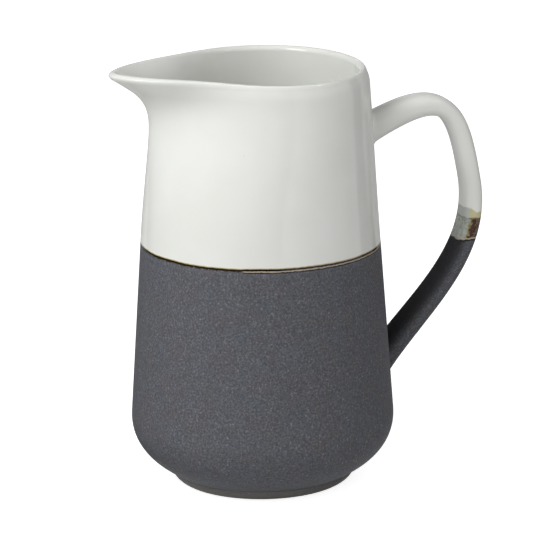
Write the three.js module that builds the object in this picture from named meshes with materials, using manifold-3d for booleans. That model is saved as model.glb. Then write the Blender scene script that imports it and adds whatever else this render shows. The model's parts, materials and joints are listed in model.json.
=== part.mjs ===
// Stoneware milk jug: a thrown clay body with a pulled spout and a strap handle luted to its side.
// White glaze covers the inside and the upper half, a matt charcoal coat covers the lower half,
// and an iron-oxide line runs where the two meet. Millimetres, +Z up, spout towards -X, handle towards +X.

import * as THREE from 'three';
import { mergeVertices } from 'three/addons/utils/BufferGeometryUtils.js';
import Module from 'manifold-3d';

const wasm = await Module();
wasm.setup();

// Body, measured over the finished glaze
const jugHeight = 186.7;
const mouthRadius = 47.6;
const bellyRadius = 58.4;
const bellyHeight = 31.6;
const bellyDepth = 34;
const bellyRoundness = 2.18;
const footHeight = 5.4;
const footCornerWidth = 6.4;
const footRingWidth = 3.2;
const footRecess = 2.2;
const recessSlopeWidth = 2;
const wall = 4.4;
const floorLevel = 8;
const floorDish = 1.6;

// Mouth and spout: the round mouth is shifted towards the handle, widened and drawn in, except at the spout
const spoutReach = 18;
const spoutDepth = 36.5;
const spoutSteepness = 4.9;
const spoutHalfAngle = THREE.MathUtils.degToRad(39.8);
const spoutPointedness = 1.41;
const spoutLipDrop = 0.5;
const throatWideningShare = 0.64;
const mouthShift = 9.75;
const mouthWidening = 4.5;
const mouthDraw = 5.05;
const mouthDepth = 74;

// Glaze and the line where the two coats meet
const glaze = 0.5;
const glazeSeat = 0.05;
const lineTop = 108.8;
const lineHeight = 2.4;

// Handle: a strap along two curves that meet at its knee
const strapTopDrop = 31.9;
const strapTopRise = THREE.MathUtils.degToRad(27.8);
const strapFootHeight = 50.6;
const strapFootRise = THREE.MathUtils.degToRad(53.3);
const kneeDrop = 25.7;
const kneeStandOff = 46;
const kneeLean = THREE.MathUtils.degToRad(9.7);
const strapPullShares = { top: 0.766, aboveKnee: 0.615, belowKnee: 0.396, foot: 0.318 };
const strapThickness = 8.6;
const strapTopThickness = 12.3;
const strapFootThickness = 11;
const strapWidth = 15.2;
const strapFootWidth = 16.1;
const strapSquareness = 2.7;
const strapLeanLength = 14;
const strapSink = 6;
const bandDrop = 16.5;
const bandHeight = 11.6;

// Slip that joins the handle to the body
const clearance = 0.3;
const slipHeight = 4;
const slipTopSpread = 2.5;
const slipFootSpread = 1;

// Grids of the surfaces
const ringCount = 40;
const ringCrowding = 1.3;
const turnStep = THREE.MathUtils.degToRad(0.05);
const heightStep = 0.02;
const strapSides = 16;
const topSteps = 12;
const footSteps = 7;
const bandSearchSteps = 40;
const bellyRowShares = [0, 0.14, 0.3, 0.48, 0.68, 0.88, 1];
const spoutRowShares = [0, 0.14, 0.3, 0.46, 0.62, 0.8, 1];
const neckRowShares = [0, 0.16, 0.34];
const cornerRowShares = [0.25, 0.6];
const lipRowShares = [0.25, 0.5, 0.75];
const floorRowShares = [{ radius: 0.94, rise: 1 }, { radius: 0.7, rise: 0.3 }, { radius: 0.35, rise: 0.05 }];
const slipRowShares = [0, 0.2, 0.5, 1];

// The wall ends at the lip's centre, half a wall below the rim.
const wallTop = jugHeight - wall / 2;
const clayDepth = glaze + glazeSeat;
const lineBottom = lineTop - lineHeight;
const strapTopHeight = jugHeight - strapTopDrop;
const kneeHeight = strapTopHeight - kneeDrop;
const bandTop = kneeHeight - bandDrop;
const bandBottom = bandTop - bandHeight;
const footRadius = turnedRadius(footHeight);
const contactRadius = footRadius - footCornerWidth;

// Angles from the spout round both ways to the handle, closer together at the spout.
function ringAngles() {
  const half = ringCount / 2;
  return Array.from({ length: ringCount }, (_, i) => {
    const turn = (i + 1) / half - 1;
    return Math.sign(turn) * Math.PI * Math.abs(turn) ** ringCrowding;
  });
}

// Point at a radius, an angle from the spout and a height.
function place(radius, angle, height) {
  return new THREE.Vector3(-radius * Math.cos(angle), -radius * Math.sin(angle), height);
}

// Finished radius before the mouth is shaped: a straight cone that rounds in below the belly.
function turnedRadius(height) {
  const rise = (height - bellyHeight) / (wallTop - bellyHeight);
  const cone = bellyRadius + (mouthRadius - bellyRadius) * rise;
  const below = Math.max(bellyHeight - height, 0) / bellyDepth;
  return cone * (1 - below ** bellyRoundness) ** (1 / bellyRoundness);
}

// Bell across the spout, 1 in its middle and 0 at its sides, for a share of its full width.
function spoutBell(angle, widthShare) {
  return Math.exp(-((Math.abs(angle) / (spoutHalfAngle * widthShare)) ** spoutPointedness));
}

// How far the mouth's shape has come in at a height: 0 well below it and 1 at the lip.
function mouthLevel(height) {
  return THREE.MathUtils.smoothstep(height, wallTop - mouthDepth, wallTop);
}

// Outward push on the wall at the spout and round the rest of the mouth.
function mouthPush(angle, height) {
  const spoutLevel = Math.max(1 - (wallTop - height) / spoutDepth, 0);
  const spout = spoutReach * spoutLevel ** spoutSteepness * spoutBell(angle, 1);
  const level = mouthLevel(height);
  const throatShare = 1 + throatWideningShare * (1 - level);
  const round = -mouthShift * Math.cos(angle) - mouthWidening * Math.cos(2 * angle) - mouthDraw;
  return spout + round * (1 - spoutBell(angle, throatShare)) * level;
}

// Point of the finished outside. At the spout the wall ends a little lower, because its lip rolls over.
function outside(angle, height) {
  const radius = turnedRadius(height) + mouthPush(angle, height);
  return place(radius, angle, height - spoutLipDrop * spoutBell(angle, 1) * mouthLevel(height));
}

// Directions at a point of the outside: square to the wall, and up along it.
function wallAxes(angle, height) {
  const around = outside(angle + turnStep, height).sub(outside(angle - turnStep, height));
  const rise = outside(angle, height + heightStep).sub(outside(angle, height - heightStep));
  const out = around.clone().cross(rise).normalize();
  const up = out.clone().cross(around).normalize();
  return { out, up };
}

// Ring at a depth below the finished outside.
function wallRing(height, depth) {
  return ringAngles().map((angle) => {
    const { out } = wallAxes(angle, height);
    return outside(angle, height).addScaledVector(out, -depth);
  });
}

// Ring on the round of the lip: share 0 is its outside, 1/2 its top and 1 its inside.
function lipRing(share, depth) {
  return ringAngles().map((angle) => {
    const { out, up } = wallAxes(angle, wallTop);
    const centre = outside(angle, wallTop).addScaledVector(out, -wall / 2);
    const round = wall / 2 - depth;
    centre.addScaledVector(out, round * Math.cos(Math.PI * share));
    return centre.addScaledVector(up, round * Math.sin(Math.PI * share));
  });
}

function levelRing(radius, height) {
  return ringAngles().map((angle) => place(radius, angle, height));
}

// Ring on the foot's rounded corner: share 0 is the crease under the belly, 1 the table.
function cornerRing(share, depth) {
  const radius = contactRadius + (footCornerWidth - depth) * Math.cos(Math.PI / 2 * share);
  return levelRing(radius, footHeight - (footHeight - depth) * Math.sin(Math.PI / 2 * share));
}

// Rings of the dished floor, from its edge inwards, at a depth below the glazed floor.
function floorRings(depth) {
  return floorRowShares.map(({ radius, rise }) => {
    return levelRing(footRadius * radius, floorLevel + floorDish * rise - depth);
  });
}

// Heights of the wall's rows between two levels, with both levels among them.
function wallHeights(from, to) {
  const belly = bellyRowShares.map((share) => footHeight + (bellyHeight - footHeight) * share);
  const spout = spoutRowShares.map((share) => wallTop - spoutDepth * (1 - share));
  const neck = neckRowShares.map((share) => wallTop - mouthDepth * (1 - share));
  const within = [...belly, ...neck, ...spout].filter((height) => height > from && height < to);
  return [from, ...within, to];
}

// Triangles between neighbouring rings, each quad cut from the earlier ring to the later one.
function band(rings) {
  return rings.slice(1).flatMap((ring, row) => {
    return ring.flatMap((_, i) => {
      const j = (i + 1) % ring.length;
      const [a, b, c, d] = [rings[row][i], rings[row][j], ring[j], ring[i]];
      return [[a, b, c], [a, c, d]];
    });
  });
}

// Triangles that close a ring at its middle, facing on from the band that ends there.
function cap(ring) {
  const sum = ring.reduce((total, point) => total.add(point), new THREE.Vector3());
  const middle = sum.divideScalar(ring.length);
  return ring.map((point, i) => [point, ring[(i + 1) % ring.length], middle]);
}

function turned(triangles) {
  return triangles.map(([a, b, c]) => [a, c, b]);
}

// Closed geometry from triangles, turned if they look inwards.
function closed(triangles) {
  const volume = triangles.reduce((sum, [a, b, c]) => sum + a.dot(b.clone().cross(c)), 0);
  const facing = volume < 0 ? turned(triangles) : triangles;
  return mergeVertices(new THREE.BufferGeometry().setFromPoints(facing.flat()));
}

// Solid along a path of rings, closed at both ends.
function solidAlong(rings) {
  return closed([...turned(cap(rings[0])), ...band(rings), ...cap(rings.at(-1))]);
}

// Skin between two paths of rings, closed by a strip at each end.
function skinBetween(upper, lower) {
  const ends = [...band([upper.at(-1), lower.at(-1)]), ...turned(band([upper[0], lower[0]]))];
  return closed([...band(upper), ...turned(band(lower)), ...ends]);
}

// Skin between two paths that start in a strip and end in the floor's middle.
function liningBetween(upper, lower) {
  const floor = [...cap(upper.at(-1)), ...turned(cap(lower.at(-1)))];
  return closed([...band(upper), ...turned(band(lower)), ...floor, ...turned(band([upper[0], lower[0]]))]);
}

function toManifold(geometry) {
  return new wasm.Manifold(new wasm.Mesh({
    numProp: 3,
    vertProperties: new Float32Array(geometry.attributes.position.array),
    triVerts: new Uint32Array(geometry.index.array),
  }));
}

// What is left of a solid. A cut can shed slivers without volume, so only its largest piece is kept.
function cut(geometry, cutter) {
  const pieces = toManifold(geometry).subtract(toManifold(cutter)).decompose();
  const mesh = pieces.sort((a, b) => b.volume() - a.volume())[0].getMesh();
  const result = new THREE.BufferGeometry();
  result.setAttribute('position', new THREE.BufferAttribute(new Float32Array(mesh.vertProperties), 3));
  result.setIndex(new THREE.BufferAttribute(new Uint32Array(mesh.triVerts), 1));
  return result;
}

// Clay body: recessed base, foot ring, belly, wall, lip, inside wall and dished floor in one path.
function clayBody() {
  const outsideRows = wallHeights(footHeight, wallTop);
  const insideRows = wallHeights(bellyHeight / 2, wallTop).toReversed();
  return solidAlong([
    levelRing(contactRadius - footRingWidth - recessSlopeWidth, footRecess),
    levelRing(contactRadius - footRingWidth, 0),
    cornerRing(1, 0),
    ...cornerRowShares.toReversed().map((share) => cornerRing(share, clayDepth)),
    ...outsideRows.map((height) => wallRing(height, clayDepth)),
    ...lipRowShares.map((share) => lipRing(share, clayDepth)),
    ...insideRows.map((height) => wallRing(height, wall - clayDepth)),
    ...floorRings(clayDepth),
  ]);
}

function whiteCoat() {
  const rows = (depth) => [
    ...wallHeights(lineTop, wallTop).map((height) => wallRing(height, depth)),
    ...lipRowShares.filter((share) => share <= 0.5).map((share) => lipRing(share, depth)),
  ];
  return skinBetween(rows(0), rows(glaze));
}

function linerCoat() {
  const rows = (depth) => [
    ...lipRowShares.filter((share) => share >= 0.5).map((share) => lipRing(share, depth)),
    ...wallHeights(bellyHeight / 2, wallTop).toReversed().map((height) => wallRing(height, wall - depth)),
    ...floorRings(depth),
  ];
  return liningBetween(rows(0), rows(glaze));
}

function charcoalCoat() {
  const rows = (depth) => [
    ...cornerRowShares.toReversed().map((share) => cornerRing(share, depth)),
    ...wallHeights(footHeight, lineBottom).map((height) => wallRing(height, depth)),
  ];
  return skinBetween(rows(0), rows(glaze));
}

function oxideLine() {
  const rows = (depth) => [lineBottom, lineTop].map((height) => wallRing(height, depth));
  return skinBetween(rows(0), rows(glaze));
}

// Centre line of the strap: from the upper root over the arch to the knee, and from the knee to the lower root.
function strapCurves() {
  const top = outside(Math.PI, strapTopHeight);
  const foot = outside(Math.PI, strapFootHeight);
  const knee = outside(Math.PI, kneeHeight);
  knee.x += kneeStandOff;
  const rising = (angle) => new THREE.Vector3(Math.cos(angle), 0, Math.sin(angle));
  const down = new THREE.Vector3(Math.sin(kneeLean), 0, -Math.cos(kneeLean));
  const pulled = (from, direction, length) => from.clone().addScaledVector(direction, length);
  const upperSpan = top.distanceTo(knee);
  const lowerSpan = foot.distanceTo(knee);
  const shares = strapPullShares;
  const upper = new THREE.CubicBezierCurve3(
    top,
    pulled(top, rising(strapTopRise), upperSpan * shares.top),
    pulled(knee, down, -upperSpan * shares.aboveKnee),
    knee,
  );
  const lower = new THREE.CubicBezierCurve3(
    knee,
    pulled(knee, down, lowerSpan * shares.belowKnee),
    pulled(foot, rising(strapFootRise), lowerSpan * shares.foot),
    foot,
  );
  return { upper, lower };
}

// Step along the lower curve at which the strap comes down to a height.
function stepAtHeight(curve, height) {
  let [above, below] = [0, 1];
  for (let i = 0; i < bandSearchSteps; i += 1) {
    const middle = (above + below) / 2;
    if (curve.getPoint(middle).z > height) above = middle;
    else below = middle;
  }
  return above;
}

// Section of the strap at a step of one curve. Near a root it leans until it lies along the wall.
function station(curve, step, isUpper) {
  const centre = curve.getPoint(step);
  const along = curve.getTangent(step);
  const square = new THREE.Vector3(-along.z, 0, along.x);
  const root = curve.getPoint(isUpper ? 0 : 1);
  const { up } = wallAxes(Math.PI, root.z);
  const wallward = isUpper ? up : up.clone().negate();
  const lean = 1 - THREE.MathUtils.smoothstep(centre.distanceTo(root), 0, strapLeanLength);
  const across = square.clone().lerp(wallward, lean).normalize();
  across.divideScalar(across.dot(square));
  const thickness = isUpper
    ? THREE.MathUtils.lerp(strapThickness, strapTopThickness, Math.max(1 - 2 * step, 0))
    : THREE.MathUtils.lerp(strapThickness, strapFootThickness, step);
  const width = isUpper ? strapWidth : THREE.MathUtils.lerp(strapWidth, strapFootWidth, step);
  return { centre, along, across, thickness, width };
}

// Stations between two steps of one curve, both among them.
function stations(curve, isUpper, from, to) {
  const count = isUpper ? topSteps : footSteps;
  const least = 1 / (3 * count);
  const steps = Array.from({ length: count }, (_, i) => i / count);
  const within = steps.filter((step) => step > from + least && step < to - least);
  return [from, ...within, to].map((step) => station(curve, step, isUpper));
}

// Station moved straight along the strap's direction.
function moved(from, distance) {
  return { ...from, centre: from.centre.clone().addScaledVector(from.along, distance) };
}

// Ring of the strap's rounded section, grown by an amount that may be negative.
function strapRing({ centre, across, thickness, width }, grow) {
  const power = 2 / strapSquareness;
  const rounded = (value) => Math.sign(value) * Math.abs(value) ** power;
  return Array.from({ length: strapSides }, (_, i) => {
    const angle = 2 * Math.PI * (i + 0.5) / strapSides;
    const point = centre.clone().addScaledVector(across, (thickness / 2 + grow) * rounded(Math.cos(angle)));
    point.y += (width / 2 + grow) * rounded(Math.sin(angle));
    return point;
  });
}

// Stations that the strap's pieces share. A root's first station is sunk in the wall, the others stand on it.
function strapPlan() {
  const { upper, lower } = strapCurves();
  const stepFromTop = (distance) => upper.getUtoTmapping(0, distance);
  const stepFromFoot = (distance) => lower.getUtoTmapping(1, lower.getLength() - distance);
  const onTop = slipRowShares.map((share) => station(upper, stepFromTop(slipHeight * share), true));
  const onFoot = slipRowShares.map((share) => station(lower, stepFromFoot(slipHeight * share), false));
  const start = stepFromTop(slipHeight + clearance);
  const end = stepFromFoot(slipHeight + clearance);
  const bandStart = stepAtHeight(lower, bandTop);
  const bandEnd = stepAtHeight(lower, bandBottom);
  return {
    topRoot: [moved(onTop[0], -strapSink), ...onTop],
    footRoot: [moved(onFoot[0], strapSink), ...onFoot],
    white: [...stations(upper, true, start, 1), ...stations(lower, false, 0, bandStart).slice(1)],
    oxide: [bandStart, bandEnd].map((step) => station(lower, step, false)),
    charcoal: stations(lower, false, bandEnd, end),
  };
}

// The body's clay with its hollow filled, let out by the clearance: what is cut by it stands on the clay.
function bodyCutter() {
  const depth = clayDepth - clearance;
  const lipRows = lipRowShares.filter((share) => share <= 0.5).map((share) => lipRing(share, depth));
  return solidAlong([...wallHeights(footHeight, wallTop).map((height) => wallRing(height, depth)), ...lipRows]);
}

// Clay strap, cut to the wall at both roots.
function clayHandle(plan, cutter) {
  const path = [...plan.topRoot, ...plan.white, ...plan.charcoal, ...plan.footRoot.toReversed()];
  return cut(solidAlong(path.map((stop) => strapRing(stop, -clayDepth))), cutter);
}

// Outside of a slip collar: it hollows from its spread at the wall to the strap's own face.
function slipRows(root, spread, grow) {
  const shares = [0, ...slipRowShares];
  return root.map((stop, i) => strapRing(stop, spread * (1 - shares[i]) ** 2 + grow));
}

// Collar of slip round a root of the clay strap.
function jointSlip(root, spread, cutter) {
  const bore = root.map((stop) => strapRing(stop, clearance - clayDepth));
  return cut(skinBetween(slipRows(root, spread, 0), bore), cutter);
}

function coatAlong(stops) {
  const rows = (depth) => stops.map((stop) => strapRing(stop, -depth));
  return skinBetween(rows(0), rows(glaze));
}

function finish(color, roughness) {
  return new THREE.MeshStandardMaterial({ color, roughness, metalness: 0 });
}

function clay() {
  return finish('#8f8478', 0.85);
}

function whiteGlaze() {
  return finish('#e4e3de', 0.12);
}

function charcoal() {
  return finish('#55565a', 0.7);
}

function oxide() {
  return finish('#2a1b10', 0.4);
}

function piece(name, geometry, material) {
  geometry.computeVertexNormals();
  const mesh = new THREE.Mesh(geometry, material);
  mesh.name = name;
  return mesh;
}

// The jug, its origin under the middle of its overall length.
function jug() {
  const plan = strapPlan();
  const cutter = bodyCutter();
  const topHole = solidAlong(slipRows(plan.topRoot, slipTopSpread, clearance));
  const footHole = solidAlong(slipRows(plan.footRoot, slipFootSpread, clearance));
  const group = new THREE.Group();
  group.add(
    piece('clay_body', clayBody(), clay()),
    piece('clay_handle', clayHandle(plan, cutter), clay()),
    piece('upper_joint_slip', jointSlip(plan.topRoot, slipTopSpread, cutter), whiteGlaze()),
    piece('lower_joint_slip', jointSlip(plan.footRoot, slipFootSpread, cutter), charcoal()),
    piece('white_glaze', cut(whiteCoat(), topHole), whiteGlaze()),
    piece('liner_glaze', linerCoat(), whiteGlaze()),
    piece('charcoal_coat', cut(charcoalCoat(), footHole), charcoal()),
    piece('oxide_line', oxideLine(), oxide()),
    piece('handle_white_glaze', coatAlong(plan.white), whiteGlaze()),
    piece('handle_oxide_band', coatAlong(plan.oxide), oxide()),
    piece('handle_charcoal_coat', coatAlong(plan.charcoal), charcoal()),
  );
  const box = new THREE.Box3().setFromObject(group);
  group.position.x = -(box.min.x + box.max.x) / 2;
  return group;
}

export default jug();
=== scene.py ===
# %% [markdown]
# This lesson dresses a stoneware milk jug. The CAD model gives the frame: eleven solids with plain facets.
# Each solid gets a fine surface in the same place, and a glaze, coat or clay that is mixed from nodes.
# Everything is in the frame's own axes: +Z up, the spout towards -X, the handle towards +X.

# %% Load the frame
import json
import math
from functools import partial

import bpy
import numpy as np
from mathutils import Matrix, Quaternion, Vector

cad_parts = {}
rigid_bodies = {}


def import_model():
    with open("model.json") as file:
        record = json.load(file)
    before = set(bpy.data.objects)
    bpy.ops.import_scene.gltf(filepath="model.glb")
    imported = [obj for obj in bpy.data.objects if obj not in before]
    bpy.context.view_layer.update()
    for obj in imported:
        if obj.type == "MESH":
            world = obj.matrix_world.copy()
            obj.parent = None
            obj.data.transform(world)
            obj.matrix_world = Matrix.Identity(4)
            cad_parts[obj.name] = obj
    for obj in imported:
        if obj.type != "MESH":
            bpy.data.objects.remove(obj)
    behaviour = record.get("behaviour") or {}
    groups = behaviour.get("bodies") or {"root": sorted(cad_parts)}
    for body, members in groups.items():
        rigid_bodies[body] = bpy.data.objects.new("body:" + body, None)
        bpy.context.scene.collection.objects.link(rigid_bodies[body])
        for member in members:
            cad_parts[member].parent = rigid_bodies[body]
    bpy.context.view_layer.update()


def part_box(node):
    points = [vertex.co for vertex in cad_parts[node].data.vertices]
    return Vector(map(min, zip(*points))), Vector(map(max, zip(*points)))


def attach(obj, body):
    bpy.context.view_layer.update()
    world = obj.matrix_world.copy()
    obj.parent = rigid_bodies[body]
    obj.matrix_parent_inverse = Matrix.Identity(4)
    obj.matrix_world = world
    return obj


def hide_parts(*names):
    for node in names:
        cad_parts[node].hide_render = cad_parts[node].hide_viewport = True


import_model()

# %% [markdown]
# The potter thinks in millimetres, and so do the formulas here. Points are turned to metres when they go into
# a mesh. The body was thrown round an upright axis. The CAD box is centred on spout and handle together, so
# that axis stands a little off x = 0, and the oxide line, a plain ring, tells where.

# %% Sizes of the body in millimetres
MM = 0.001
line_low, line_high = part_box("oxide_line")
AXIS_X = (line_low.x + line_high.x) / 2 / MM

JUG_HEIGHT = 186.7
MOUTH_RADIUS = 47.6
BELLY_RADIUS = 58.4
BELLY_HEIGHT = 31.6
BELLY_DEPTH = 34
BELLY_ROUNDNESS = 2.18
FOOT_HEIGHT = 5.4
FOOT_CORNER = 6.4
FOOT_RING = 3.2
FOOT_RECESS = 2.2
RECESS_SLOPE = 2
WALL = 4.4
FLOOR_LEVEL = 8
FLOOR_CORNER_TOP = 15.8

SPOUT_REACH = 18
SPOUT_DEPTH = 36.5
SPOUT_STEEPNESS = 4.9
SPOUT_HALF_ANGLE = math.radians(39.8)
SPOUT_POINTEDNESS = 1.41
SPOUT_EASE = math.radians(3)
SPOUT_LIP_DROP = 0.5
THROAT_WIDENING = 0.64
MOUTH_SHIFT = 9.75
MOUTH_WIDENING = 4.5
MOUTH_DRAW = 5.05
MOUTH_DEPTH = 74

GLAZE = 0.5
CLAY_DEPTH = 0.55
LINE_TOP = 108.8
LINE_HEIGHT = 2.4
LIP_SHOULDER = 4.5
WALL_TOP = JUG_HEIGHT - WALL / 2
print("Body axis at x =", round(AXIS_X, 3), "mm")

# %% [markdown]
# A thrown body is nearly a surface of revolution. Its radius is a straight cone down to the belly, which then
# rounds in as a superellipse does. The mouth is not round: the potter's fingers pull a spout on one side, and
# the rest of the rim gives way. That is one push on the radius, as a function of the angle from the spout and
# the height. Both work on whole numpy arrays, so that a full grid of points comes from one call.

# %% Radius of the thrown body
def smooth_step(value, low, high):
    """0 below low, 1 above high, and 3s^2 - 2s^3 between them, where s is the share of the way."""
    share = np.clip((value - low) / (high - low), 0, 1)
    return share * share * (3 - 2 * share)


def turned_radius(height):
    """A straight cone, times (1 - d^k)^(1/k) below the belly, where d is the share of the belly's depth."""
    rise = (height - BELLY_HEIGHT) / (WALL_TOP - BELLY_HEIGHT)
    cone = BELLY_RADIUS + (MOUTH_RADIUS - BELLY_RADIUS) * rise
    below = np.clip((BELLY_HEIGHT - height) / BELLY_DEPTH, 0, 1)
    return cone * (1 - below**BELLY_ROUNDNESS) ** (1 / BELLY_ROUNDNESS)


def spout_bell(angle, width_share):
    """exp((ease^p - (angle^2 + ease^2)^(p/2)) / width^p): 1 in the spout's middle and 0 at its sides."""
    eased = (angle**2 + SPOUT_EASE**2) ** (SPOUT_POINTEDNESS / 2) - SPOUT_EASE**SPOUT_POINTEDNESS
    return np.exp(-eased / (SPOUT_HALF_ANGLE * width_share) ** SPOUT_POINTEDNESS)


def mouth_push(angle, height):
    """Spout: reach times level^steepness times bell. Rest of the rim: -a cos(t) - b cos(2t) - c, faded in."""
    level = smooth_step(height, WALL_TOP - MOUTH_DEPTH, WALL_TOP)
    spout_level = np.clip(1 - (WALL_TOP - height) / SPOUT_DEPTH, 0, None)
    spout = SPOUT_REACH * spout_level**SPOUT_STEEPNESS * spout_bell(angle, 1)
    throat = 1 - spout_bell(angle, 1 + THROAT_WIDENING * (1 - level))
    rim = -MOUTH_SHIFT * np.cos(angle) - MOUTH_WIDENING * np.cos(2 * angle) - MOUTH_DRAW
    return spout + rim * throat * level


def place(radius, angle, height):
    """Points at a radius and an angle from the spout, round the body's axis."""
    x = AXIS_X - radius * np.cos(angle)
    y = -radius * np.sin(angle)
    return np.stack(np.broadcast_arrays(x, y, height), axis=-1).astype(float)


def outside(angle, height):
    """Finished outside of the wall. At the spout it ends a little lower, because the lip rolls over."""
    radius = turned_radius(height) + mouth_push(angle, height)
    level = smooth_step(height, WALL_TOP - MOUTH_DEPTH, WALL_TOP)
    return place(radius, angle, height - SPOUT_LIP_DROP * spout_bell(angle, 1) * level)


belly, mouth = turned_radius(BELLY_HEIGHT), turned_radius(WALL_TOP)
print("Radius at the belly", round(float(belly), 1), "mm, at the mouth", round(float(mouth), 1), "mm")

# %% [markdown]
# The whole jug without its handle is one skin, so one function covers it. Its first parameter walks a path:
# over the base, up the outside, round the lip, down the inside and over the floor. The second is the angle
# from the spout. A coat is then a stretch of that path, and its thickness is a step along the surface normal.

# %% One function for the whole turned skin
PATH_STEP = 1e-4
TURN_STEP = 1e-3
LEVEL_STEP = 0.02
SMALLEST_RADIUS = 0.05
FLOOR_PULL = 13
FLOOR_FLAT_SHARE = 0.62
LIP_DRAW_SHARE = 0.9
LIP_TOP = 1.5


def unit(vectors):
    """Vectors over their lengths."""
    return vectors / np.linalg.norm(vectors, axis=-1, keepdims=True)


def wall_axes(angle, height):
    """Square to the wall, and up along it: the cross product of the steps round and up."""
    around = outside(angle + TURN_STEP, height) - outside(angle - TURN_STEP, height)
    rise = outside(angle, height + LEVEL_STEP) - outside(angle, height - LEVEL_STEP)
    out = unit(np.cross(around, rise))
    return out, unit(np.cross(out, around))


def lip_draw(height):
    """Share of half the wall by which the lip's outer side draws in: the way up its shoulder, squared."""
    share = np.clip((height - WALL_TOP + LIP_SHOULDER) / (LIP_SHOULDER + WALL / 2), 0, 1)
    return LIP_DRAW_SHARE * share * share


def base_profile(path):
    """Radius and height for path -3 to 0: recess, foot ring on the table, then a quarter ellipse up."""
    contact = turned_radius(FOOT_HEIGHT) - FOOT_CORNER
    ring_inside = contact - FOOT_RING
    corner = np.clip(-path, 0, 1) * math.pi / 2
    radius = contact + FOOT_CORNER * np.cos(corner)
    height = FOOT_HEIGHT * (1 - np.sin(corner))
    under = np.clip(-1 - path, 0, 1)
    ring = contact - under * (FOOT_RING + RECESS_SLOPE)
    middle = np.clip(-2 - path, 0, 1)
    radius = np.where(path < -1, ring * (1 - middle), radius)
    recess = FOOT_RECESS * smooth_step(ring_inside - radius, 0, RECESS_SLOPE)
    return np.maximum(radius, SMALLEST_RADIUS), np.where(path < -1, recess, height)


def floor_profile(path):
    """Radius and height for path 3 to 4: a cubic curve from the wall's lower end to the floor's middle."""
    behind, level = np.array(math.pi), np.array(FLOOR_CORNER_TOP)
    out, up = wall_axes(behind, level)
    start = outside(behind, level) - WALL * out
    start_radius = start[0] - AXIS_X
    step = np.clip(path - 3, 0, 1)
    corners = [start_radius, start_radius - FLOOR_PULL * up[0], start_radius * FLOOR_FLAT_SHARE, 0]
    levels = [start[2], start[2] - FLOOR_PULL * up[2], FLOOR_LEVEL, FLOOR_LEVEL]
    weights = [(1 - step) ** 3, 3 * step * (1 - step) ** 2, 3 * step**2 * (1 - step), step**3]
    radius = sum(weight * value for weight, value in zip(weights, corners))
    height = sum(weight * value for weight, value in zip(weights, levels))
    return np.maximum(radius, SMALLEST_RADIUS), height


def jug_skin(path, angle):
    """Finished surface. Path -3..0 base, 0..1 outside, 1..2 lip, 2..3 inside wall, 3..4 floor."""
    path, angle = np.broadcast_arrays(path, angle)
    climb = FOOT_HEIGHT + (WALL_TOP - FOOT_HEIGHT) * np.clip(path, 0, 1)
    fall = WALL_TOP - (WALL_TOP - FLOOR_CORNER_TOP) * np.clip(path - 2, 0, 1)
    height = np.where(path < LIP_TOP, climb, fall)
    out, up = wall_axes(angle, height)
    turn = math.pi * np.clip(path - 1, 0, 1)[..., None]
    lip_centre = outside(angle, height) - WALL / 2 * out
    wall = lip_centre + WALL / 2 * (np.cos(turn) * out + np.sin(turn) * up)
    outer_height = np.where(path < LIP_TOP, height + WALL / 2 * np.sin(turn[..., 0]), 0)
    outer_share = np.clip((LIP_TOP - path) / (LIP_TOP - 1), 0, 1)
    wall = wall - (lip_draw(outer_height) * outer_share)[..., None] * WALL / 2 * out
    base_radius, base_height = base_profile(path)
    base = place(base_radius, angle, base_height)
    floor_radius, floor_height = floor_profile(path)
    floor = place(floor_radius, angle, floor_height)
    return np.where(path[..., None] < 0, base, np.where(path[..., None] > 3, floor, wall))


def jug_normals(path, angle):
    """Cross product of a small step round and a small step along the path."""
    around = jug_skin(path, angle + TURN_STEP) - jug_skin(path, angle - TURN_STEP)
    along = jug_skin(path + PATH_STEP, angle) - jug_skin(path - PATH_STEP, angle)
    return unit(np.cross(around, along))


def outside_path(height):
    """Path value on the outside at a height, the inverse of the climb in jug_skin."""
    return (height - FOOT_HEIGHT) / (WALL_TOP - FOOT_HEIGHT)


line_start, line_end = outside_path(LINE_TOP - LINE_HEIGHT), outside_path(LINE_TOP)
print("The oxide line runs on the path from", round(line_start, 3), "to", round(line_end, 3))

# %% [markdown]
# A grid of points becomes a mesh with two kinds of ends. A coat is a closed skin: its outer rows, then its
# inner rows backwards, joined into a loop. The clay is a path from one pole to another, and each pole is
# closed by a fan of triangles. The surface's own normals go into the mesh too, so that two coats that meet
# edge to edge shade as one.

# %% Turn a grid of points into a closed mesh
ROUND_COLUMNS = 224
SPOUT_CROWDING = 1.3


def turn_angles(columns=ROUND_COLUMNS):
    """Angles from the spout round both ways to the handle, closer together at the spout."""
    turn = np.linspace(-1, 1, columns, endpoint=False) + 2 / columns
    return np.sign(turn) * math.pi * np.abs(turn) ** SPOUT_CROWDING


def new_mesh(name, points, normals, faces):
    """Makes the object, with its place in its mesh, and prints its faces and the volume they close."""
    mesh = bpy.data.meshes.new(name)
    mesh.from_pydata((points * MM).tolist(), [], faces)
    mesh.update()
    mesh.shade_smooth()
    mesh.normals_split_custom_set_from_vertices(normals.tolist())
    piece = bpy.data.objects.new(name, mesh)
    bpy.context.scene.collection.objects.link(piece)
    mesh.calc_loop_triangles()
    corners = np.zeros(len(mesh.loop_triangles) * 3, int)
    mesh.loop_triangles.foreach_get("vertices", corners)
    a, b, c = points[corners.reshape(-1, 3)].transpose(1, 0, 2)
    volume = np.einsum("ij,ij->i", a, np.cross(b, c)).sum() / 6
    print(name, len(corners) // 3, "triangles,", round(float(volume), 1), "cubic mm")
    return piece


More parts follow.
